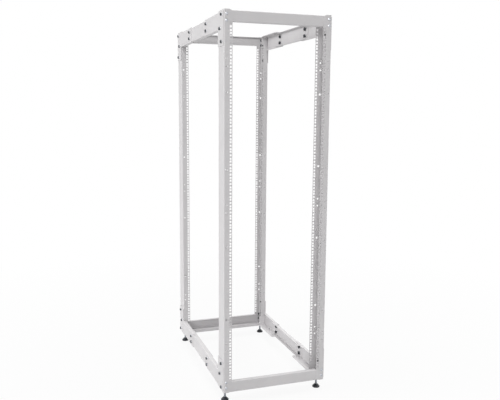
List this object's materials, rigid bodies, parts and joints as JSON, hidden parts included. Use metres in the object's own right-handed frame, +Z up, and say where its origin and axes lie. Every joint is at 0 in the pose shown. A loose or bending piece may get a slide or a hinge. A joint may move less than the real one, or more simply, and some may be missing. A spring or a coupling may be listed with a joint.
{
  "type": "four post open frame equipment rack",
  "caption": "Free-standing open frame rack for 19 inch equipment: perforated channel posts, cross beams, telescoping side beams and levelling feet",
  "frame": {"origin": "on the floor under the middle of the rack's footprint", "axes": "+X to the rack's right seen from the front, +Y to its back, +Z up"},
  "size_m": [0.536, 0.95, 1.862],
  "materials": {
    "steel_coat": "light grey fine-texture powder coat, semi-matt",
    "zinc": "bright zinc plating",
    "pad_black": "near-black moulded plastic, slight sheen"
  },
  "bodies": {
    "root": {"front_left_post": "steel_coat", "front_left_foot_stem": "zinc", "front_left_foot_nut": "zinc", "front_left_foot_pad": "pad_black", "front_right_post": "steel_coat", "front_right_foot_stem": "zinc", "front_right_foot_nut": "zinc", "front_right_foot_pad": "pad_black", "back_left_post": "steel_coat", "back_left_foot_stem": "zinc", "back_left_foot_nut": "zinc", "back_left_foot_pad": "pad_black", "back_right_post": "steel_coat", "back_right_foot_stem": "zinc", "back_right_foot_nut": "zinc", "back_right_foot_pad": "pad_black", "front_top_beam": "steel_coat", "front_bottom_beam": "steel_coat", "back_top_beam": "steel_coat", "back_bottom_beam": "steel_coat", "left_top_front_bracket": "steel_coat", "left_top_back_bracket": "steel_coat", "left_top_slide": "steel_coat", "left_bottom_front_bracket": "steel_coat", "left_bottom_back_bracket": "steel_coat", "left_bottom_slide": "steel_coat", "right_top_front_bracket": "steel_coat", "right_top_back_bracket": "steel_coat", "right_top_slide": "steel_coat", "right_bottom_front_bracket": "steel_coat", "right_bottom_back_bracket": "steel_coat", "right_bottom_slide": "steel_coat"}
  },
  "joints": []
}
